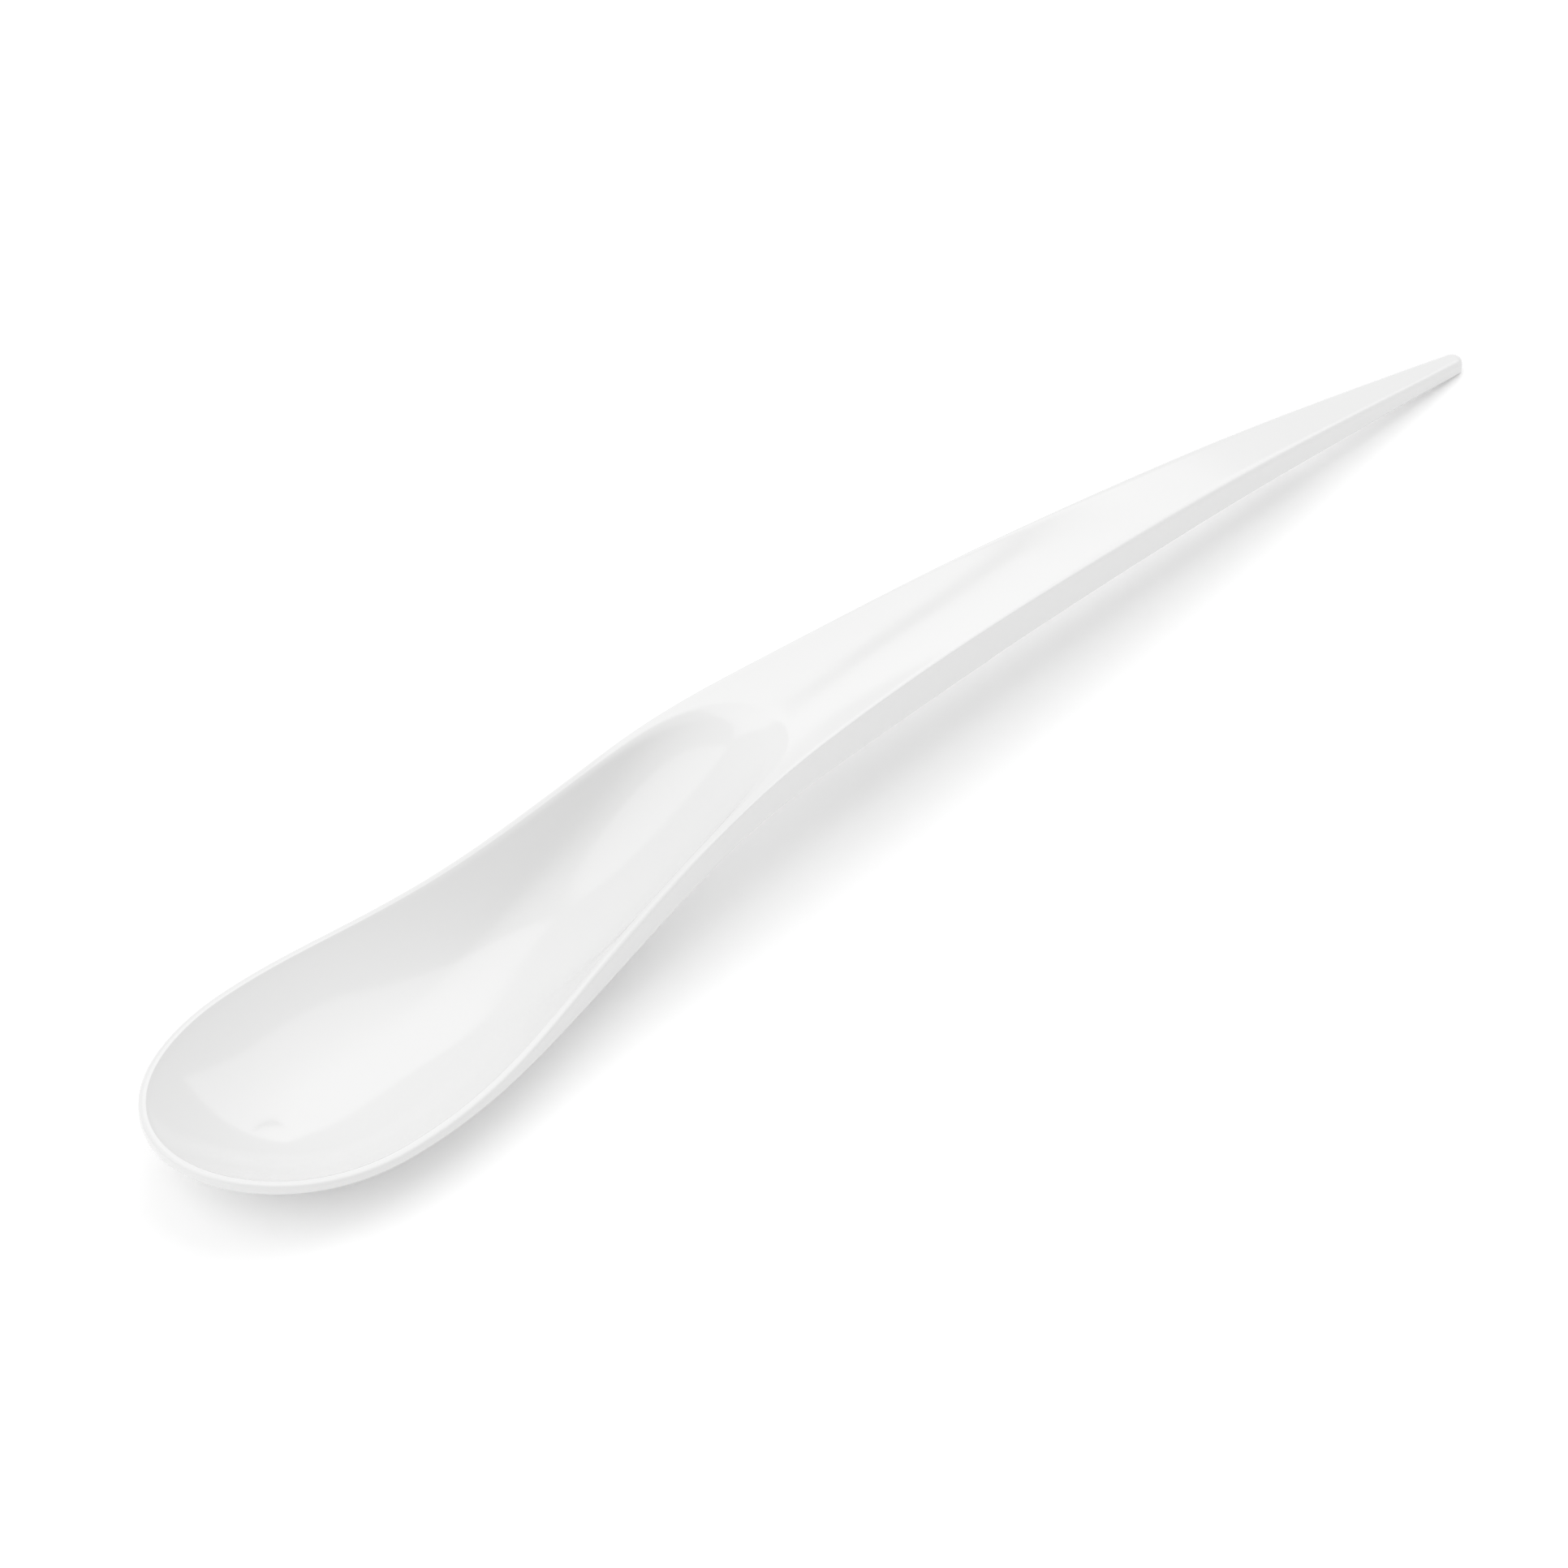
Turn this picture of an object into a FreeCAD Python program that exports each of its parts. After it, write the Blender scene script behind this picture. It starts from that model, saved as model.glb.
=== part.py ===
# One moulded spoon. Millimetres, +Z up. Lengths are counted from the front of the bowl (x = 0) to the
# end of the handle; the finished solid is moved so that the origin is the middle of its flat foot.
import FreeCAD
import Part
import math
import os

V = FreeCAD.Vector

BOWL_LENGTH = 85.0        # front of the bowl to the top of the arch behind it
HANDLE_LENGTH = 100.0     # from there to the end of the handle
HALF_WIDTH = 14.6         # half of the bowl's greatest width
HEIGHT = 15.0             # table to the top of the arch
SIDE_HEIGHT = 4.55        # greatest height of the upright outer side
TIP_HALF = 1.1            # half width and rounding radius of the handle's end

# The spoon's lines. First number: 0 at the front, 1 at the arch, 2 at the end of the handle
SIDE_STATIONS = [(0.376, 0.935), (0.512, 0.781), (0.671, 0.644), (0.835, 0.548), (1.020, 0.452),
                 (1.240, 0.360), (1.520, 0.260), (1.805, 0.151)]   # share of HALF_WIDTH
RIM_STATIONS = [(0.000, 0.560), (0.129, 0.460), (0.259, 0.427), (0.400, 0.447), (0.541, 0.580),
                (0.671, 0.767), (0.835, 0.967), (1.000, 0.997), (1.190, 0.940), (1.430, 0.783),
                (1.660, 0.563), (2.000, 0.120)]   # share of HEIGHT, rim and top
SIDE_HEIGHTS = [(0.000, 0.253), (0.224, 0.231), (0.388, 0.341), (0.553, 0.648), (0.776, 0.780),
                (1.000, 1.000), (1.240, 1.000), (1.570, 0.758), (2.000, 0.395)]   # share of SIDE_HEIGHT

# Bowl
WIDEST_X = 20.0           # where the bowl is widest; the foot is under it
RIM_LAND = 1.1            # width of the flat rim round the hollow
WALL = 1.2                # thickness of the bowl's bottom
HOLLOW_STOP = 4.5         # the hollow runs out into the handle this far before the arch
HOLLOW_TURN = 18.5        # its outline begins to turn in this far before that
RUN_OUT = 4.0             # length over which its edge there is softened
UNDER_LIP = 0.3           # set-in of the bowl's outside under the rim
UNDER_STOP = 9.0          # the bowl's outside meets the handle's underside this far before the arch
UNDER_TURN = 19.0         # its outline begins to turn in this far before that
FLAT_SHARE = 0.18         # part of the way from the middle to the rim that is flat
SIDE_POWER = 2.0          # how the walls rise from the flat at the front and sides
RAMP_POWER = 1.25         # and towards the handle
RAMP_EASE = 0.75          # how much the ramp flattens again where it meets the handle

# Handle
DISH_DEPTH = 0.6          # depth of the shallow trough along its top
DISH_START = 25.0         # the trough starts this far before the arch,
DISH_RISE = 24.0          # is deepest after this length
DISH_FADE = 51.0          # and has faded out after this further length
CORE_START = 1.5          # the open space under the handle starts this far before the arch
CORE_STOP = 27.0          # and stops this far before the end
CORE_WALL = 1.3           # thickness of its sides
CORE_SKIN = 1.4           # thickness of the top over it
CORE_CORNER = 1.5

RIM_BEVEL = 0.3           # the edges round the top are broken by this

# Fineness of the curves
FRONT_STEPS = 9
SIDE_STEPS = 7
TURN_STEPS = 6
LONG_STEPS = 16
TIP_STEPS = 4
CORE_STEPS = 8
TOP_STEPS = 48
TOP_STEPS_ACROSS = 6
RING_SHARES = [0.0, 0.15, 0.35, 0.6, 0.85, 1.0]

BURY = 0.25               # how far the bowl's outside goes into the upright side
CLEAR = 4.0               # construction shapes pass the spoon's ends by this
CLEAR_TOP = 40.0
CLEAR_SIDE = 1.4 * HALF_WIDTH
ON_FACE = 0.02            # a point nearer to a face than this lies on it

LENGTH = BOWL_LENGTH + HANDLE_LENGTH
HOLLOW_LENGTH = BOWL_LENGTH - HOLLOW_STOP
UNDER_LENGTH = BOWL_LENGTH - UNDER_STOP


def along(place):
    """Distance from the front for a place given as 0 to 1 on the bowl and 1 to 2 on the handle."""
    if place <= 1:
        return place * BOWL_LENGTH
    return BOWL_LENGTH + (place - 1) * HANDLE_LENGTH


def scaled(stations, unit):
    return [(along(place), share * unit) for place, share in stations]


def smooth_line(stations):
    """A smooth height along the spoon, carried on straight past both ends."""
    (x0, z0), (x1, z1) = stations[:2]
    (x2, z2), (x3, z3) = stations[-2:]
    before = (x0 - CLEAR, z0 - CLEAR * (z1 - z0) / (x1 - x0))
    after = (x3 + CLEAR, z3 + CLEAR * (z3 - z2) / (x3 - x2))
    places = [before] + stations + [after]
    curve = Part.BSplineCurve()
    curve.interpolate(Points=[V(x, 0, z) for x, z in places], Parameters=[x for x, z in places])
    return curve


def side_curve():
    """Half outline from the widest place to the start of the rounded end."""
    points = [V(WIDEST_X, HALF_WIDTH, 0)]
    points += [V(x, y, 0) for x, y in scaled(SIDE_STATIONS, HALF_WIDTH)]
    points += [V(LENGTH - TIP_HALF, TIP_HALF, 0)]
    curve = Part.BSplineCurve()
    curve.interpolate(Points=points, Parameters=[p.x for p in points])
    return curve


RIM_LINE = smooth_line(scaled(RIM_STATIONS, HEIGHT))
HEIGHT_LINE = smooth_line(scaled(SIDE_HEIGHTS, SIDE_HEIGHT))
SIDE = side_curve()


def rim_z(x):
    return RIM_LINE.value(x).z


def low_z(x):
    """Height of the lower edge of the upright side."""
    return rim_z(x) - HEIGHT_LINE.value(x).z


def step(a, b, x):
    """Smooth rise from 0 at a to 1 at b."""
    t = min(1.0, max(0.0, (x - a) / (b - a)))
    return t * t * (3 - 2 * t)


def dish(x):
    """Depth of the trough along the handle's top."""
    start = BOWL_LENGTH - DISH_START
    deepest = start + DISH_RISE
    return DISH_DEPTH * step(start, deepest, x) * (1 - step(deepest, deepest + DISH_FADE, x))


def top_z(x, y):
    """Height of the top face, hollow left out."""
    depth = dish(x)
    if depth == 0:
        return rim_z(x)
    return rim_z(x) - depth * (1 - (y / SIDE.value(x).y) ** 2)


def front_point(a, inset):
    """Point of the elliptic front, a from 0 at the tip to pi/2 at the widest place."""
    inward = V(HALF_WIDTH * math.cos(a), -WIDEST_X * math.sin(a), 0)
    inward.normalize()
    return V(WIDEST_X * (1 - math.cos(a)), HALF_WIDTH * math.sin(a), 0) + inward * inset


def side_point(x, inset):
    slope = SIDE.tangent(x)[0]
    inward = V(slope.y, -slope.x, 0)
    inward.normalize()
    return SIDE.value(x) + inward * inset


def outline(inset):
    """Points round one side of the plan view, front to end, inside it by inset."""
    start = LENGTH - TIP_HALF
    points = [front_point(i * math.pi / 2 / FRONT_STEPS, inset) for i in range(FRONT_STEPS)]
    points += [side_point(WIDEST_X + (start - WIDEST_X) * i / LONG_STEPS, inset) for i in range(LONG_STEPS)]
    for i in range(TIP_STEPS + 1):
        a = i * math.pi / 2 / TIP_STEPS
        r = TIP_HALF - inset
        points.append(V(start + r * math.sin(a), r * math.cos(a), 0))
    return points


def with_mirror(points):
    """Points on one side, first and last in the middle, and their mirror images behind them."""
    return points + [V(p.x, -p.y, p.z) for p in reversed(points[1:-1])]


def even_marks(points):
    return [float(i) for i in range(len(with_mirror(points)) + 1)]


def length_marks(points):
    """Distances round a closed loop at each of its points."""
    loop = with_mirror(points)
    marks = [0.0]
    for p, q in zip(loop, loop[1:] + loop[:1]):
        marks.append(marks[-1] + p.distanceToPoint(q))
    return marks


def closed_curve(points, marks):
    """Closed smooth wire through points on one side and their mirror images."""
    curve = Part.BSplineCurve()
    curve.interpolate(Points=with_mirror(points), PeriodicFlag=True, Parameters=marks)
    return Part.Wire(curve.toShape())


def closed_solid(faces):
    shell = Part.Compound(faces)
    shell.sewShape()
    solid = Part.Solid(shell.Shells[0])
    if solid.Volume < 0:
        solid.reverse()
    return solid


def bowl_width(x, inset, turn, end):
    """Half width of a bowl outline that lies inside the spoon's by inset and closes in a round end."""
    y = side_point(x, inset).y
    if x > turn:
        y *= math.sqrt(max(0.0, 1 - ((x - turn) / (end - turn)) ** 4))
    return y


def rise(x, share):
    """Part of the height between bowl bottom and rim reached at a share of the way out."""
    power = SIDE_POWER + (RAMP_POWER - SIDE_POWER) * step(WIDEST_X, HOLLOW_LENGTH, x)
    ease = RAMP_EASE * step(HOLLOW_LENGTH - HOLLOW_TURN, HOLLOW_LENGTH, x)
    return share ** power * (1 + ease * (1 - share) * share ** 3)


def ring(inset, turn, end, edge_z, floor, share):
    """Points round one side of the bowl, from the flat bottom (share 0) to the rim (share 1)."""
    plan = FLAT_SHARE + (1 - FLAT_SHARE) * share
    ring_end = WIDEST_X + (end - WIDEST_X) * plan
    ring_turn = ring_end - turn * plan
    points = []
    for i in range(FRONT_STEPS):
        p = front_point(i * math.pi / 2 / FRONT_STEPS, inset)
        z = floor + (edge_z(p.x, p.y) - floor) * rise(p.x, share)
        points.append(V(WIDEST_X + (p.x - WIDEST_X) * plan, p.y * plan, z))
    xs = [WIDEST_X + (ring_turn - WIDEST_X) * i / SIDE_STEPS for i in range(SIDE_STEPS)]
    last = ring_end - ring_turn
    xs += [ring_turn + last * math.sin(i * math.pi / 2 / TURN_STEPS) for i in range(TURN_STEPS + 1)]
    for x in xs:
        y = plan * bowl_width(x, inset, ring_turn, ring_end)
        points.append(V(x, y, floor + (edge_z(x, y) - floor) * rise(x, share)))
    return points


def bowl_shape(rings, lip):
    """Solid with a bowl's walls up to its rim, then a straight slope to the lip, then upright walls."""
    marks = even_marks(lip)
    wires = [closed_curve(r, marks) for r in rings]
    edge = closed_curve(lip, marks)
    lid = closed_curve([V(p.x, p.y, CLEAR_TOP) for p in lip], marks)
    faces = Part.makeLoft(wires, False).Faces
    faces += Part.makeLoft([wires[-1], edge, lid], False, True).Faces
    return closed_solid(faces + [Part.Face(wires[0]), Part.Face(lid)])


def hollow():
    """The bowl's inside. It comes out of the top with a sloping edge, softly at the handle."""
    def sunk(x, y):
        return top_z(x, y) - RIM_BEVEL

    end = HOLLOW_LENGTH - RUN_OUT / 2
    rings = [ring(RIM_LAND, HOLLOW_TURN, end, sunk, WALL, share) for share in RING_SHARES]
    lip = ring(RIM_LAND - 2 * RIM_BEVEL, HOLLOW_TURN, end + RUN_OUT, top_z, WALL, 1.0)
    return bowl_shape(rings, [V(p.x, p.y, p.z + RIM_BEVEL) for p in lip])


def bowl_outside():
    """The bowl's outer shape; over the lower edge of the upright side it draws in, to stay inside that."""
    def buried(x, y):
        return low_z(x) + BURY

    rings = [ring(UNDER_LIP, UNDER_TURN, UNDER_LENGTH, buried, 0.0, share) for share in RING_SHARES]
    lip = ring(UNDER_LIP + RIM_LAND, UNDER_TURN, UNDER_LENGTH - RIM_LAND, buried, 0.0, 1.0)
    return bowl_shape(rings, [V(p.x, p.y, p.z + BURY) for p in lip])


def upright_block():
    """The plan view's upright sides, sloping in where they meet the top face."""
    edge = outline(0.0)
    slope = outline(2 * RIM_BEVEL)
    marks = length_marks(edge)
    rings = [[V(p.x, p.y, -CLEAR_TOP) for p in edge],
             [V(p.x, p.y, rim_z(p.x) - RIM_BEVEL) for p in edge],
             [V(p.x, p.y, rim_z(p.x) + RIM_BEVEL) for p in slope],
             [V(p.x, p.y, CLEAR_TOP) for p in slope]]
    wires = [closed_curve(r, marks) for r in rings]
    faces = Part.makeLoft(wires, False, True).Faces
    return closed_solid(faces + [Part.Face(wires[0]), Part.Face(wires[-1])])


def band(line_z, z_to):
    """Everything between a line along the spoon, seen from the side, and a level."""
    stations = sorted(set(along(place) for place, share in RIM_STATIONS + SIDE_HEIGHTS))
    places = [-CLEAR] + stations + [LENGTH + CLEAR]
    curve = Part.BSplineCurve()
    curve.interpolate(Points=[V(x, -CLEAR_SIDE, line_z(x)) for x in places], Parameters=places)
    a = curve.StartPoint
    b = curve.EndPoint
    c = V(b.x, b.y, z_to)
    d = V(a.x, a.y, z_to)
    edges = [curve.toShape(), Part.makeLine(b, c), Part.makeLine(c, d), Part.makeLine(d, a)]
    return Part.Face(Part.Wire(edges)).extrude(V(0, 2 * CLEAR_SIDE, 0))


def above_top():
    """Everything above the rim and the handle's top face."""
    xs = [-CLEAR + (LENGTH + 2 * CLEAR) * i / TOP_STEPS for i in range(TOP_STEPS + 1)]
    ys = [CLEAR_SIDE * (2 * j / TOP_STEPS_ACROSS - 1) for j in range(TOP_STEPS_ACROSS + 1)]
    face = Part.BSplineSurface()
    face.interpolate([[V(x, y, top_z(x, y)) for y in ys] for x in xs])
    return face.toShape().extrude(V(0, 0, CLEAR_TOP))


def core():
    """Open space under the handle."""
    start = BOWL_LENGTH - CORE_START
    length = LENGTH - CORE_STOP - start
    xs = [start + length * i / CORE_STEPS for i in range(CORE_STEPS + 1)]
    points = [V(x, SIDE.value(x).y - CORE_WALL, 0) for x in xs]
    side = Part.BSplineCurve()
    side.interpolate(points)
    mirror = side.copy()
    mirror.mirror(V(0, 0, 0), V(1, 0, 0))
    near, far = points[0], points[-1]
    front = Part.LineSegment(V(near.x, -near.y, 0), near)
    end = Part.Arc(far, V(far.x + far.y, 0, 0), V(far.x, -far.y, 0)).toBSpline()
    wire = Part.Wire(Part.__sortEdges__([c.toShape() for c in (front, side, end, mirror)]))
    prism = Part.Face(wire).extrude(V(0, 0, CLEAR_TOP))
    upright = [e for e in prism.Edges if e.Length > CLEAR_TOP - ON_FACE]
    prism = prism.makeFillet(CORE_CORNER, [e for e in upright if e.CenterOfMass.x < start + ON_FACE])
    return prism.common(band(lambda x: rim_z(x) - dish(x) - CORE_SKIN, 0.0))


def spoon():
    body = upright_block().common(band(low_z, CLEAR_TOP))
    body = body.cut(core())
    body = body.fuse(bowl_outside())
    body = body.cut(above_top())
    return body.cut(hollow()).Solids[0]


def main():
    os.makedirs("parts", exist_ok=True)
    solid = spoon()
    solid.translate(V(-WIDEST_X, 0, 0))
    solid.exportStep("parts/spoon.step")


main()
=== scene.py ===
# Looks for the moulded spoon: a fine mesh of it with softly rounded edges, glossy white plastic, soft studio
# light and the photograph's camera. Metres. Lengths along the spoon are counted from the front of the bowl,
# as in its solid; the finished mesh is moved so that the middle of its flat foot is the origin.
import math

import bmesh
import bpy
import numpy as np
from mathutils import Matrix, Vector

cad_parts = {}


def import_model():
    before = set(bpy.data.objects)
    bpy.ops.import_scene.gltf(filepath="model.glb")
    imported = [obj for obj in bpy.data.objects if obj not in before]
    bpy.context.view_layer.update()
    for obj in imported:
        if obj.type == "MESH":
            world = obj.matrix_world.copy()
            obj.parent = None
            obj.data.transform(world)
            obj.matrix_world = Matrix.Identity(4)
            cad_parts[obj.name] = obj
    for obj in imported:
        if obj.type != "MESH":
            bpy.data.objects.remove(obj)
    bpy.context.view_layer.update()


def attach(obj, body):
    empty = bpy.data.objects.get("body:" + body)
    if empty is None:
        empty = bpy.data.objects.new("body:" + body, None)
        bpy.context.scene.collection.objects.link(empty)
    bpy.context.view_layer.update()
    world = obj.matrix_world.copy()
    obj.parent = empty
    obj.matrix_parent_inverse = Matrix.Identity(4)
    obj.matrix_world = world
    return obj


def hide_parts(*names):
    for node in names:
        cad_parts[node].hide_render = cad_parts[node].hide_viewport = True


# The spoon's main sizes
BOWL_LENGTH = 0.085       # front of the bowl to the top of the arch behind it
HANDLE_LENGTH = 0.100     # from there to the end of the handle
HALF_WIDTH = 0.0146
HEIGHT = 0.015
SIDE_HEIGHT = 0.00455     # height of the upright outer side at the arch
TIP_HALF = 0.0011         # half width and rounding radius of the handle's end
WIDEST_X = 0.020          # where the bowl is widest
LENGTH = BOWL_LENGTH + HANDLE_LENGTH
TIP_START = LENGTH - TIP_HALF

# The spoon's lines. First number: 0 at the front, 1 at the arch, 2 at the end of the handle
SIDE_STATIONS = [(0.376, 0.935), (0.512, 0.781), (0.671, 0.644), (0.835, 0.548), (1.020, 0.452),
                 (1.240, 0.360), (1.520, 0.260), (1.805, 0.151)]   # share of HALF_WIDTH
RIM_STATIONS = [(0.000, 0.560), (0.129, 0.460), (0.259, 0.427), (0.400, 0.447), (0.541, 0.580),
                (0.671, 0.767), (0.835, 0.967), (1.000, 0.997), (1.190, 0.940), (1.430, 0.783),
                (1.660, 0.563), (2.000, 0.120)]   # share of HEIGHT, rim and top
SIDE_HEIGHTS = [(0.000, 0.253), (0.224, 0.231), (0.388, 0.341), (0.553, 0.648), (0.776, 0.780),
                (1.000, 1.000), (1.240, 1.000), (1.570, 0.758), (2.000, 0.395)]   # share of SIDE_HEIGHT
LINE_ENDS = 0.004         # the lines are carried on this far past the spoon's ends
SLOPE_STEP = 0.001        # the side's direction is read this far before and after a place

# Bowl
WALL = 0.0012             # thickness of its bottom
LIP_INSET = 0.0008        # from the outside to the hollow's edge on the rim
LIP_END = BOWL_LENGTH - 0.0045      # where that edge ends towards the handle
HOLLOW_INSET = 0.0011     # the same for the top of the hollow's wall,
HOLLOW_END = LIP_END - 0.002
HOLLOW_DROP = 0.0003      # which lies this far under the rim
HOLLOW_TURN = 0.0185      # length of the hollow's round end
UNDER_INSET = 0.0003      # the same for the bowl's outside,
UNDER_END = BOWL_LENGTH - 0.009
UNDER_TURN = 0.019
UNDER_BURY = 0.00025      # which reaches this far up inside the upright side
FLAT_SHARE = 0.18         # part of the way from the middle to the rim that is flat
SIDE_POWER = 2.0          # how the walls rise from the flat at the front and sides
RAMP_POWER = 1.25         # and towards the handle
RAMP_EASE = 0.75          # how much the ramp flattens again where it meets the handle

# Handle
DISH_DEPTH = 0.0006       # depth of the shallow trough along its top
DISH_START = BOWL_LENGTH - 0.025
DISH_DEEPEST = DISH_START + 0.024
DISH_STOP = DISH_DEEPEST + 0.051
CORE_START = BOWL_LENGTH - 0.0015   # the open space under the handle
CORE_STOP = LENGTH - 0.0263
CORE_WALL = 0.0013
CORE_SKIN = 0.0014

# Mesh: each row of points runs from the middle of the spoon outwards, to one point of its outline
FRONT_ROWS = 24           # round the front
ROW_LENGTH = 0.0019       # from row to row along the sides
TIP_ROWS = 5              # round the end of the handle
WALL_SHARES = [0, 0.13, 0.28, 0.44, 0.6, 0.76, 0.89, 0.97, 1]   # points up a bowl's wall
FLOOR_SHARES = [0, 0.5]   # and over its flat bottom
INNER_SHARES = [0.66, 0.33]         # points over the inner part of the top and the underside
CORE_COLUMN = len(INNER_SHARES) + 1           # the point of a row where the open space begins
WALL_SUPPORT = 0.3        # the next point outwards, as a share of the wall beside that space
SEARCH_FROM = 0.8         # the bowl's outside meets the upright side at a share between this and 1,
HALVINGS = 16             # which is found by halving the range so many times
SUBDIVISIONS = 2
NEAR = 0.000002           # points nearer than this are one point
INSIDE = 0.000015         # the mesh stays this far inside the solid's outline

# Edges: how far from an edge its rounding begins
BOWL_ROUND = 0.0007       # round the top of the bowl
HANDLE_ROUND = 0.00045    # along the handle
HANDLE_ROUND_FROM = BOWL_LENGTH - 0.040       # from here the one goes over into the other,
HANDLE_ROUND_FULL = BOWL_LENGTH - 0.010       # up to here
TIP_ROUND = 0.0009        # towards the handle's end
TIP_ROUND_FROM = BOWL_LENGTH + 0.020
TIP_ROUND_FULL = BOWL_LENGTH + 0.055
NOSE_ROUND = 0.0013       # round its very end, above and below
NOSE_LENGTH = 0.007
LOW_ROUND = 0.0002        # the edges of the underside
TOP_LIMIT = 0.9           # the most that the rounding may take of the top's width,
SIDE_LIMIT = 0.6          # of the side's height
LOW_SIDE_LIMIT = 0.9      # and, at its lower edge, of what is left of that
WALL_LIMIT = 0.7          # the most that the wall beside the open space may take of the underside's width
LOW_LIMIT = 0.3           # and the rounding of its edge

# Plastic
PLASTIC_COLOUR = (0.8, 0.8, 0.798)
PLASTIC_IOR = 1.49
ROUGHNESS = (0.1, 0.14)
GLOSS_SPOTS = (140, 3)    # changes of gloss: how many to the metre, and levels of detail
RIPPLES = (90, 1)
RIPPLE_HEIGHT = 0.00002
GRAIN = (2500, 2)
GRAIN_HEIGHT = 0.0000012
NOISE_RANGE = (0.3, 0.7)  # a noise value mostly lies between these

# Light
SKY = 0.72
FLOOR_SIZE = 6
FLOOR_GREY = 0.97
FLOOR_ROUGHNESS = 0.9
FLOOR_GLOW = 0.07         # the floor is a softly lit table
BOX_SIZE = 2.0
BOX_POWER = 12.8
BOX_PLACES = {"left": (-1.15, 0.4, 1.6), "right": (1.15, 0.4, 1.6)}
BOX_AIM = (0.07, 0, 0)
# the gap is a nearly black sheet: painted shade standing in for the dark gap between the two lights
GAP_GREY = 0.01
GAP_ROUGHNESS = 1
GAP_FROM = Vector((0.08, 0, 0.012))
GAP_DISTANCE = 1.2
GAP_LINE = [(43, 41, 0.09), (47.6, 41.6, 0.09), (50.6, 40.2, 0.08), (53.8, 37.6, 0.06), (55.4, 34.4, 0.045),
            (55.8, 31, 0.03)]   # azimuth from +Y and height of the dark gap, degrees, and its width

# Camera, as worked out from the spoon's edges in the photograph
IMAGE_SIDE = 1932.0
SENSOR_MM = 36
CLIP_START = 0.01
FOCAL_PX = 7865.0
AZIMUTH = math.radians(43.407)
ELEVATION = math.radians(43.745)
REF_POINT = Vector((-0.020, 0.0, 0.0084))   # front of the rim
REF_PIXEL = (201.67, 1422.30)
REF_DISTANCE = 0.6155


def along(place):
    """Distance from the front for a place given as 0 to 1 on the bowl and 1 to 2 on the handle."""
    if place <= 1:
        return place * BOWL_LENGTH
    return BOWL_LENGTH + (place - 1) * HANDLE_LENGTH


def scaled(stations, unit):
    return [(along(place), share * unit) for place, share in stations]


def spline(pairs):
    """Smooth function through (place, value) pairs."""
    x = np.array([place for place, value in pairs])
    v = np.array([value for place, value in pairs])
    h = np.diff(x)
    secant = np.diff(v) / h
    n = len(x)
    matrix = np.eye(n)
    sides = np.zeros(n)
    for end, four in ((0, slice(0, 4)), (n - 1, slice(n - 4, n))):
        sides[end] = np.polyval(np.polyder(np.polyfit(x[four] - x[end], v[four], 3)), 0)
    for i in range(1, n - 1):
        matrix[i, i - 1:i + 2] = (1 / h[i - 1], 2 / h[i - 1] + 2 / h[i], 1 / h[i])
        sides[i] = 3 * (secant[i - 1] / h[i - 1] + secant[i] / h[i])
    slopes = np.linalg.solve(matrix, sides)

    def value_at(place):
        i = int(np.clip(np.searchsorted(x, place) - 1, 0, n - 2))
        t = (place - x[i]) / h[i]
        between = v[i] + (v[i + 1] - v[i]) * t * t * (3 - 2 * t)
        return between + h[i] * t * (1 - t) * (slopes[i] * (1 - t) - slopes[i + 1] * t)

    return value_at


def smooth_line(stations):
    """A smooth height along the spoon, carried on straight past both ends."""
    (x0, z0), (x1, z1) = stations[:2]
    (x2, z2), (x3, z3) = stations[-2:]
    before = (x0 - LINE_ENDS, z0 - LINE_ENDS * (z1 - z0) / (x1 - x0))
    after = (x3 + LINE_ENDS, z3 + LINE_ENDS * (z3 - z2) / (x3 - x2))
    return spline([before] + stations + [after])


RIM_LINE = smooth_line(scaled(RIM_STATIONS, HEIGHT))
HEIGHT_LINE = smooth_line(scaled(SIDE_HEIGHTS, SIDE_HEIGHT))
SIDE_LINE = spline([(WIDEST_X, HALF_WIDTH)] + scaled(SIDE_STATIONS, HALF_WIDTH) + [(TIP_START, TIP_HALF)])


def step(a, b, x):
    """Smooth rise from 0 at a to 1 at b."""
    t = min(1.0, max(0.0, (x - a) / (b - a)))
    return t * t * (3 - 2 * t)


def dish(x):
    """Depth of the trough along the handle's top."""
    return DISH_DEPTH * step(DISH_START, DISH_DEEPEST, x) * (1 - step(DISH_DEEPEST, DISH_STOP, x))


def top_z(x, y):
    """Height of the top face, hollow left out."""
    depth = dish(x)
    if depth == 0:
        return RIM_LINE(x)
    return RIM_LINE(x) - depth * (1 - (y / SIDE_LINE(x)) ** 2)


def low_z(x, y):
    """Height of the underside and of the lower edge of the upright side."""
    return RIM_LINE(x) - HEIGHT_LINE(x)


def hollow_edge_z(x, y):
    return top_z(x, y) - HOLLOW_DROP


def outside_edge_z(x, y):
    return low_z(x, y) + UNDER_BURY


def roof_z(x):
    """Height of the roof of the open space under the handle."""
    return RIM_LINE(x) - dish(x) - CORE_SKIN


def top_round(x):
    """How far from the edge round the top its rounding begins."""
    handle = step(HANDLE_ROUND_FROM, HANDLE_ROUND_FULL, x)
    tip = step(TIP_ROUND_FROM, TIP_ROUND_FULL, x)
    nose = step(LENGTH - NOSE_LENGTH, LENGTH, x)
    along_top = BOWL_ROUND + (HANDLE_ROUND - BOWL_ROUND) * handle + (TIP_ROUND - HANDLE_ROUND) * tip
    return along_top + (NOSE_ROUND - TIP_ROUND) * nose


def low_round(x):
    """The same for the lower edge of the upright side."""
    return LOW_ROUND + (NOSE_ROUND - LOW_ROUND) * step(CORE_STOP, LENGTH, x)


def quarter(i, count):
    """Angle after i of the count steps of a quarter turn."""
    return i * math.pi / 2 / count


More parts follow.
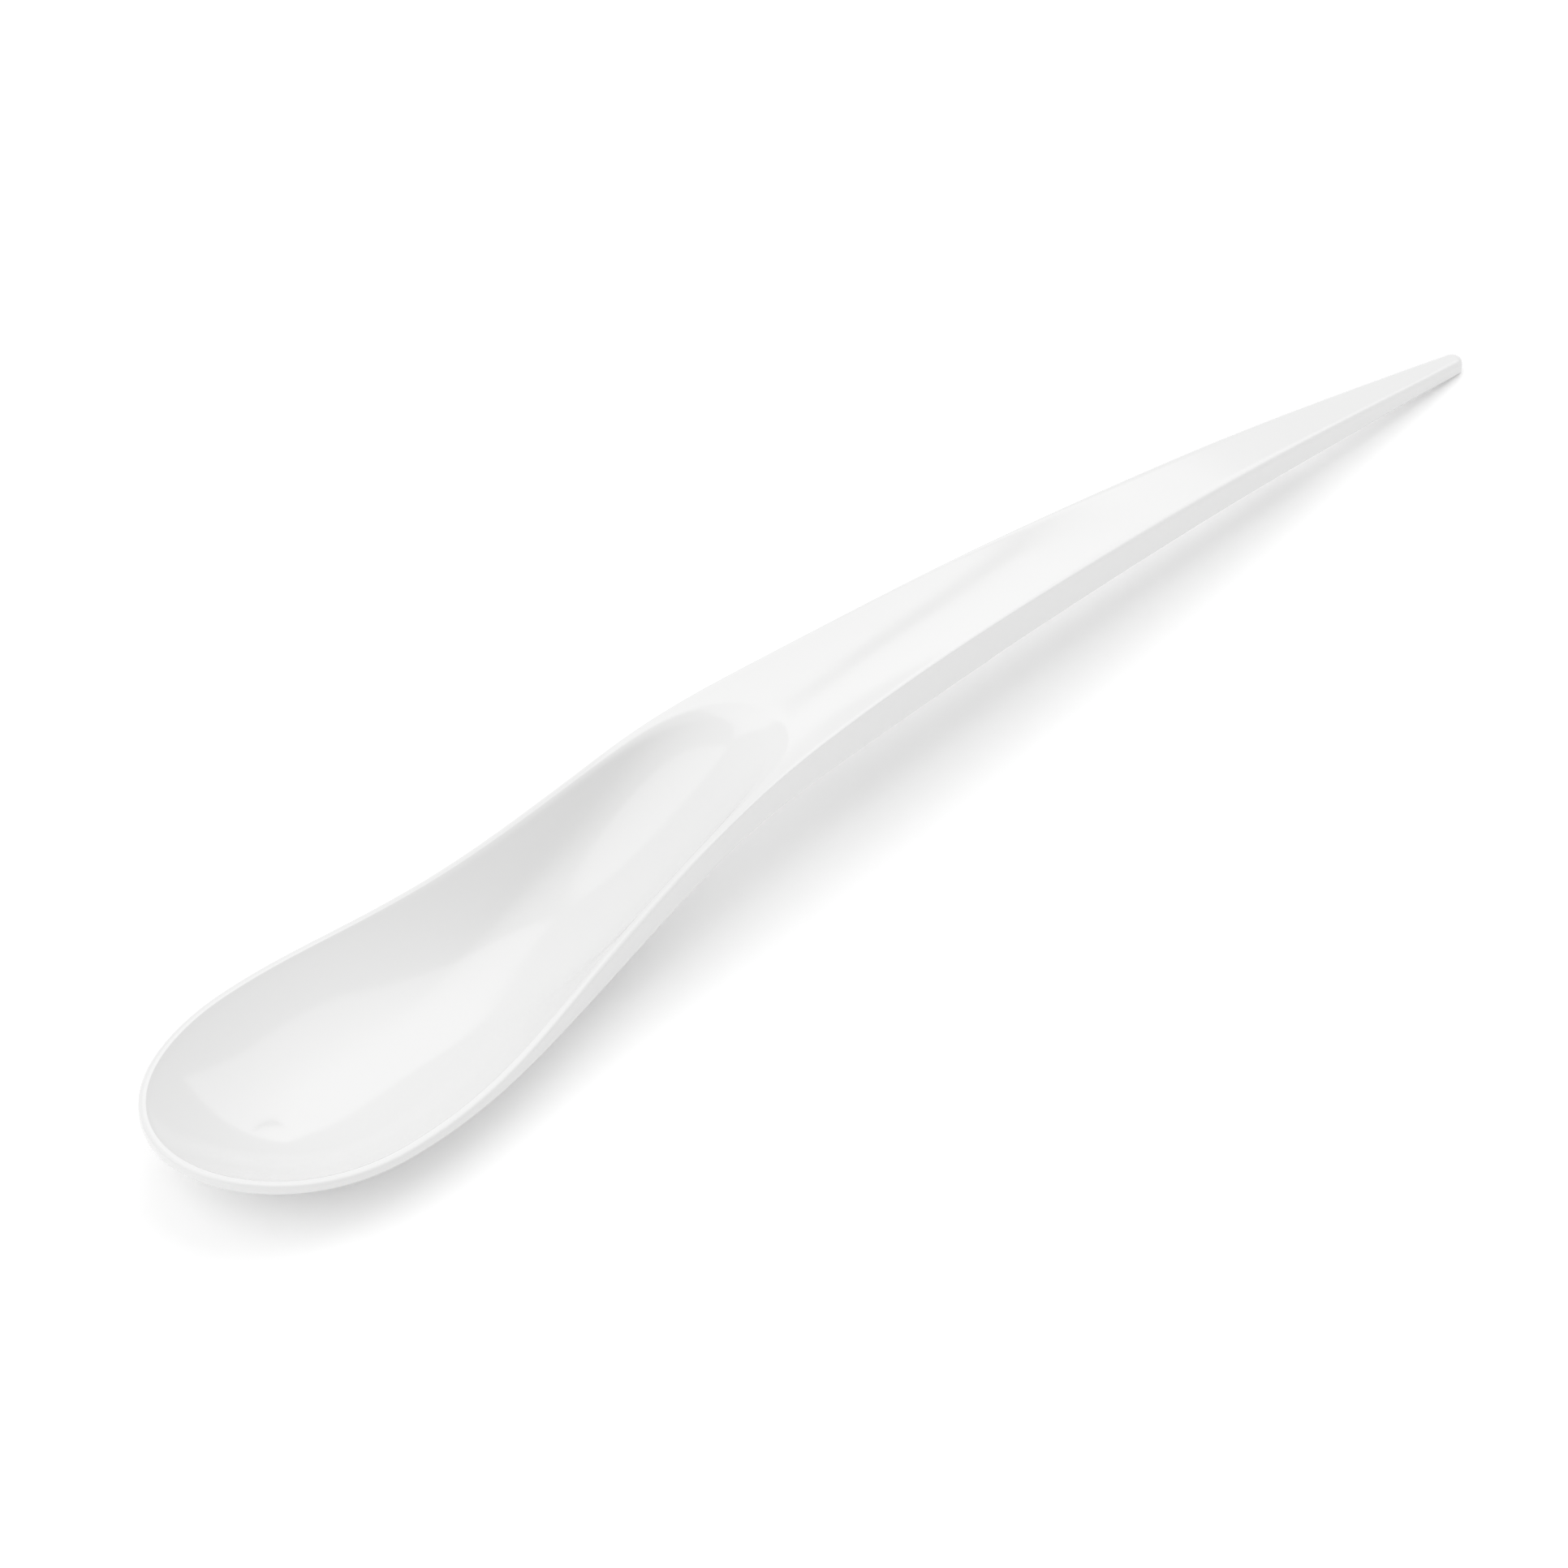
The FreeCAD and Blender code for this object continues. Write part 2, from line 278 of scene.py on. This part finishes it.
def front_point(a, inset):
    """Point of the elliptic front, a from 0 at the tip to pi/2 at the widest place."""
    inward = Vector((HALF_WIDTH * math.cos(a), -WIDEST_X * math.sin(a))).normalized()
    return Vector((WIDEST_X * (1 - math.cos(a)), HALF_WIDTH * math.sin(a))) + inward * inset


def side_point(x, inset):
    slope = (SIDE_LINE(x + SLOPE_STEP) - SIDE_LINE(x - SLOPE_STEP)) / (2 * SLOPE_STEP)
    return Vector((x, SIDE_LINE(x))) + Vector((slope, -1)).normalized() * inset


def side_places():
    """Where the rows along the side start; every change of the shape falls on a row."""
    marks = [WIDEST_X, UNDER_END - UNDER_TURN, LIP_END - HOLLOW_TURN, UNDER_END, LIP_END,
             CORE_START - LOW_ROUND, CORE_START, CORE_STOP, CORE_STOP + LOW_ROUND, TIP_START]
    places = []
    for a, b in zip(marks, marks[1:]):
        count = max(1, round((b - a) / ROW_LENGTH))
        places += [a + (b - a) * i / count for i in range(count)]
    return places


PLACES = side_places()


def outline(inset):
    """Points round one side of the plan view, front to end, inside it by inset."""
    points = [front_point(quarter(i, FRONT_ROWS), inset) for i in range(FRONT_ROWS)]
    points += [side_point(x, inset) for x in PLACES]
    r = TIP_HALF - inset
    for i in range(TIP_ROWS + 1):
        a = quarter(i, TIP_ROWS)
        points.append(Vector((TIP_START + r * math.sin(a), r * math.cos(a))))
    return points


def rise(x, share):
    """Part of the height between bowl bottom and rim reached at a share of the way out."""
    power = SIDE_POWER + (RAMP_POWER - SIDE_POWER) * step(WIDEST_X, LIP_END, x)
    ease = RAMP_EASE * step(LIP_END - HOLLOW_TURN, LIP_END, x)
    return share ** power * (1 + ease * (1 - share) * share ** 3)


class Bowl:
    """A bowl's wall from its flat bottom (share 0) to its edge (share 1); it closes in a round end.

    Its rows are those of the outline up to last_place."""

    def __init__(self, inset, end, turn, last_place, bottom, edge_z):
        self.inset = inset
        self.end = end
        self.turn = turn
        self.last_place = last_place
        self.bottom = bottom
        self.edge_z = edge_z
        self.rows = FRONT_ROWS + sum(place < last_place + NEAR for place in PLACES)

    def side_x(self, place):
        """Distance along the bowl for a row of the outline, and how much the round end narrows it there."""
        start = self.end - self.turn
        first_turned = self.last_place - self.turn
        if place <= first_turned:
            return WIDEST_X + (place - WIDEST_X) * (start - WIDEST_X) / (first_turned - WIDEST_X), 1.0
        reach = math.sin((place - first_turned) / self.turn * math.pi / 2)
        return start + self.turn * reach, math.sqrt(max(0.0, 1 - reach ** 4))

    def point(self, row, share):
        plan = FLAT_SHARE + (1 - FLAT_SHARE) * share
        if row < FRONT_ROWS:
            edge_x, edge_y = front_point(quarter(row, FRONT_ROWS), self.inset)
            x = WIDEST_X + (edge_x - WIDEST_X) * plan
            y = edge_y * plan
        else:
            full_x, narrow = self.side_x(PLACES[row - FRONT_ROWS])
            x = WIDEST_X + (full_x - WIDEST_X) * plan
            y = side_point(x, self.inset).y * narrow * plan
            if row == self.rows - 1:
                y = 0.0
            edge_x, edge_y = x, y
        height = self.edge_z(edge_x, edge_y) - self.bottom
        return Vector((x, y, self.bottom + height * rise(edge_x, share)))

    def share_under_side(self, row):
        """Share at which the wall reaches the lower edge of the upright side."""
        low, high = SEARCH_FROM, 1.0
        for i in range(HALVINGS):
            middle = (low + high) / 2
            p = self.point(row, middle)
            if p.z < low_z(p.x, p.y):
                low = middle
            else:
                high = middle
        return high


HOLLOW = Bowl(HOLLOW_INSET, HOLLOW_END, HOLLOW_TURN, LIP_END, WALL, hollow_edge_z)
LIP = Bowl(LIP_INSET, LIP_END, HOLLOW_TURN, LIP_END, WALL, top_z)
OUTSIDE = Bowl(UNDER_INSET, UNDER_END, UNDER_TURN, UNDER_END, 0.0, outside_edge_z)


def wall_rows(bowl, ends):
    """Rows over a bowl's bottom and up its wall; ends gives the share at which each row stops."""
    rows = []
    for j in range(bowl.rows):
        first = bowl.point(j, 0)
        middle = Vector((WIDEST_X, 0, first.z))
        bottom = [middle.lerp(first, share) for share in FLOOR_SHARES]
        rows.append(bottom + [bowl.point(j, share * ends[j]) for share in WALL_SHARES])
    return rows


def middle_line():
    """For each row of the outline, the point that it starts from where there is no bowl."""
    points = [Vector((WIDEST_X, 0))] * FRONT_ROWS
    points += [Vector((x, 0)) for x in PLACES]
    return points + [Vector((TIP_START, 0))] * (TIP_ROWS + 1)


def flat_rows(inner, outer, distances, height):
    """Rows from inner to outer points; distances(length, x) says how far from the outer point each lies."""
    rows = []
    for start, stop in zip(inner, outer):
        start = Vector((start.x, start.y))
        length = (start - stop).length
        row = []
        for distance in distances(length, stop.x):
            p = stop.lerp(start, distance / length)
            row.append(Vector((p.x, p.y, height(p.x, p.y))))
        rows.append(row)
    return rows


def top_distances(length, x):
    edge = min(top_round(x), TOP_LIMIT * length)
    return [length] + [edge + share * (length - edge) for share in INNER_SHARES] + [edge, 0]


def under_distances(length, x):
    wall = min(CORE_WALL, WALL_LIMIT * length)
    edge = min(low_round(x), LOW_LIMIT * length)
    inner = [wall + share * (length - wall) for share in INNER_SHARES]
    return [length] + inner + [wall, wall - WALL_SUPPORT * (wall - edge), edge, 0]


def side_rows(outer):
    """Rows down the upright side."""
    rows = []
    for p in outer:
        top = top_z(p.x, p.y)
        height = HEIGHT_LINE(p.x)
        below = min(top_round(p.x), SIDE_LIMIT * height)
        above = min(low_round(p.x), LOW_SIDE_LIMIT * (height - below))
        drops = [0, below, (below + height - above) / 2, height - above, height]
        rows.append([Vector((p.x, p.y, top - drop)) for drop in drops])
    return rows


def top_patches(outer, middle):
    """Rows of the hollow with its lip, of the top round it and behind it, and of the upright side."""
    lip = [LIP.point(j, 1) for j in range(LIP.rows)]
    wall = wall_rows(HOLLOW, [1.0] * HOLLOW.rows)
    hollow = [row + [p] for row, p in zip(wall, lip)]
    top = flat_rows(lip + middle[LIP.rows:], outer, top_distances, top_z)
    return hollow, top, side_rows(outer)


def under_patches(outer, middle):
    """Rows of the underside and of the bowl's outside, which meet at one height."""
    ends = [OUTSIDE.share_under_side(j) for j in range(OUTSIDE.rows)]
    outside = wall_rows(OUTSIDE, ends)
    meeting = [row[-1] for row in outside]
    under = flat_rows(meeting + middle[OUTSIDE.rows:], outer, under_distances, low_z)
    for row, p in zip(under, meeting):
        p.z = row[0].z
    return under, outside


def core_patches(under, first, last):
    """Rows of the walls and the roof of the open space under the handle, set into the underside's rows."""
    edge = [under[first][k] for k in range(CORE_COLUMN + 1)]
    edge += [under[j][CORE_COLUMN] for j in range(first + 1, last + 1)]
    edge += [under[last][k] for k in range(CORE_COLUMN - 1, -1, -1)]
    walls = []
    for p in edge:
        roof = roof_z(p.x)
        levels = [p.z, p.z + LOW_ROUND, roof - LOW_ROUND, roof]
        walls.append([Vector((p.x, p.y, z)) for z in levels])
    rows = under[first:last + 1]
    return walls, [[Vector((p.x, p.y, roof_z(p.x))) for p in row[:CORE_COLUMN + 1]] for row in rows]


def add_patch(mesh, rows, left_out=()):
    """Faces between the points of neighbouring rows, on both sides of the spoon."""
    for side in (1, -1):
        points = [[mesh.verts.new((p.x - WIDEST_X, side * p.y, p.z)) for p in row] for row in rows]
        for j in range(len(rows) - 1):
            for k in range(len(rows[j]) - 1):
                if (j, k) not in left_out:
                    mesh.faces.new((points[j][k], points[j][k + 1], points[j + 1][k + 1], points[j + 1][k]))


def spoon_mesh():
    """The coarse mesh that is then subdivided."""
    outer = outline(INSIDE)
    middle = middle_line()
    hollow, top, side = top_patches(outer, middle)
    under, outside = under_patches(outer, middle)
    first = FRONT_ROWS + PLACES.index(CORE_START)
    last = FRONT_ROWS + PLACES.index(CORE_STOP)
    walls, roof = core_patches(under, first, last)
    open_faces = {(j, k) for j in range(first, last) for k in range(CORE_COLUMN)}
    mesh = bmesh.new()
    add_patch(mesh, hollow)
    add_patch(mesh, top)
    add_patch(mesh, side)
    add_patch(mesh, under, open_faces)
    add_patch(mesh, outside)
    add_patch(mesh, walls)
    add_patch(mesh, roof)
    bmesh.ops.remove_doubles(mesh, verts=mesh.verts, dist=NEAR)
    bmesh.ops.dissolve_degenerate(mesh, edges=mesh.edges, dist=NEAR)
    bmesh.ops.recalc_face_normals(mesh, faces=mesh.faces)
    return mesh


def new_object(name, mesh, material):
    """Puts a mesh in the scene under a name, with its material."""
    data = bpy.data.meshes.new(name)
    mesh.to_mesh(data)
    mesh.free()
    data.materials.append(material)
    piece = bpy.data.objects.new(name, data)
    bpy.context.scene.collection.objects.link(piece)
    return piece


def spoon():
    """The spoon that is seen, in place of its solid."""
    piece = new_object("spoon_fine", spoon_mesh(), plastic())
    piece.data.shade_smooth()
    piece.modifiers.new("fine", "SUBSURF").levels = SUBDIVISIONS
    graph = bpy.context.evaluated_depsgraph_get()
    piece.data = bpy.data.meshes.new_from_object(piece.evaluated_get(graph))
    piece.modifiers.clear()
    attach(piece, "root")
    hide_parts("spoon")


def new_material(name):
    material = bpy.data.materials.new(name)
    material.use_nodes = True
    return material, material.node_tree.nodes["Principled BSDF"]


def plain_material(name, grey, roughness, glow):
    material, shader = new_material(name)
    shader.inputs["Base Color"].default_value = (grey, grey, grey, 1)
    shader.inputs["Roughness"].default_value = roughness
    shader.inputs["Emission Color"].default_value = (1, 1, 1, 1)
    shader.inputs["Emission Strength"].default_value = glow
    return material


def plastic():
    """White moulded plastic: glossy, with a faint ripple in the skin and small changes of gloss."""
    material, shader = new_material("white_plastic")
    tree = material.node_tree
    shader.inputs["Base Color"].default_value = (*PLASTIC_COLOUR, 1)
    shader.inputs["IOR"].default_value = PLASTIC_IOR
    place = tree.nodes.new("ShaderNodeTexCoord").outputs["Object"]
    gloss = noise(tree, place, *GLOSS_SPOTS)
    tree.links.new(spread(tree, gloss, *ROUGHNESS), shader.inputs["Roughness"])
    ripple = bump(tree, noise(tree, place, *RIPPLES), RIPPLE_HEIGHT)
    skin = bump(tree, noise(tree, place, *GRAIN), GRAIN_HEIGHT, ripple)
    tree.links.new(skin, shader.inputs["Normal"])
    return material


def noise(tree, place, per_metre, detail):
    node = tree.nodes.new("ShaderNodeTexNoise")
    node.inputs["Scale"].default_value = per_metre
    node.inputs["Detail"].default_value = detail
    tree.links.new(place, node.inputs["Vector"])
    return node.outputs["Fac"]


def spread(tree, value, low, high):
    """A noise value turned into a number between low and high."""
    node = tree.nodes.new("ShaderNodeMapRange")
    node.inputs["From Min"].default_value = NOISE_RANGE[0]
    node.inputs["From Max"].default_value = NOISE_RANGE[1]
    node.inputs["To Min"].default_value = low
    node.inputs["To Max"].default_value = high
    tree.links.new(value, node.inputs["Value"])
    return node.outputs["Result"]


def bump(tree, height, depth, under=None):
    """A surface disturbed by a height of up to depth metres, on top of another if there is one."""
    node = tree.nodes.new("ShaderNodeBump")
    node.inputs["Distance"].default_value = depth
    tree.links.new(height, node.inputs["Height"])
    if under:
        tree.links.new(under, node.inputs["Normal"])
    return node.outputs["Normal"]


def floor():
    bpy.ops.mesh.primitive_plane_add(size=FLOOR_SIZE)
    plane = bpy.context.object
    plane.name = "floor"
    plane.data.materials.append(plain_material("floor", FLOOR_GREY, FLOOR_ROUGHNESS, FLOOR_GLOW))


def area_light(name, place):
    data = bpy.data.lights.new(name, "AREA")
    data.shape = "SQUARE"
    data.size = BOX_SIZE
    data.energy = BOX_POWER
    light = bpy.data.objects.new(name, data)
    bpy.context.scene.collection.objects.link(light)
    light.location = place
    light.rotation_mode = "QUATERNION"
    light.rotation_quaternion = (Vector(BOX_AIM) - Vector(place)).to_track_quat("-Z", "Y")


def gap():
    """A nearly black sheet of painted shade, put where the dark gap between the lights is; the handle's
    trough mirrors it as a soft dark line.
    """
    mesh = bmesh.new()
    rims = []
    for azimuth, elevation, width in GAP_LINE:
        a, e = math.radians(azimuth), math.radians(elevation)
        out = Vector((math.sin(a) * math.cos(e), math.cos(a) * math.cos(e), math.sin(e)))
        across = Vector((math.sin(a) * math.sin(e), math.cos(a) * math.sin(e), -math.cos(e)))
        across = (across + out.cross(across)).normalized() * width / 2
        middle = GAP_FROM + out * GAP_DISTANCE
        rims.append((mesh.verts.new(middle - across), mesh.verts.new(middle + across)))
    for (a, b), (c, d) in zip(rims, rims[1:]):
        mesh.faces.new((a, b, d, c))
    flag = new_object("gap", mesh, plain_material("gap", GAP_GREY, GAP_ROUGHNESS, 0))


def camera():
    right = Vector((math.cos(AZIMUTH), -math.sin(AZIMUTH), 0))
    forward = Vector((math.sin(AZIMUTH) * math.cos(ELEVATION), math.cos(AZIMUTH) * math.cos(ELEVATION),
                      -math.sin(ELEVATION)))
    up = right.cross(forward)
    half = IMAGE_SIDE / 2
    ray = forward * FOCAL_PX + right * (REF_PIXEL[0] - half) + up * (half - REF_PIXEL[1])
    place = REF_POINT - ray.normalized() * REF_DISTANCE
    data = bpy.data.cameras.new("camera")
    data.sensor_width = SENSOR_MM
    data.lens = SENSOR_MM * FOCAL_PX / IMAGE_SIDE
    data.clip_start = CLIP_START
    cam = bpy.data.objects.new("camera", data)
    bpy.context.scene.collection.objects.link(cam)
    turn = Matrix((right, up, -forward)).transposed()
    cam.matrix_world = Matrix.Translation(place) @ turn.to_4x4()
    bpy.context.scene.camera = cam


def sky():
    world = bpy.data.worlds.new("studio")
    world.use_nodes = True
    background = world.node_tree.nodes["Background"]
    background.inputs["Color"].default_value = (1, 1, 1, 1)
    background.inputs["Strength"].default_value = SKY
    bpy.context.scene.world = world


def main():
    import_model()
    spoon()
    floor()
    camera()
    sky()
    for name, place in BOX_PLACES.items():
        area_light(name, place)
    gap()
    bpy.context.scene.view_settings.view_transform = "Standard"


main()
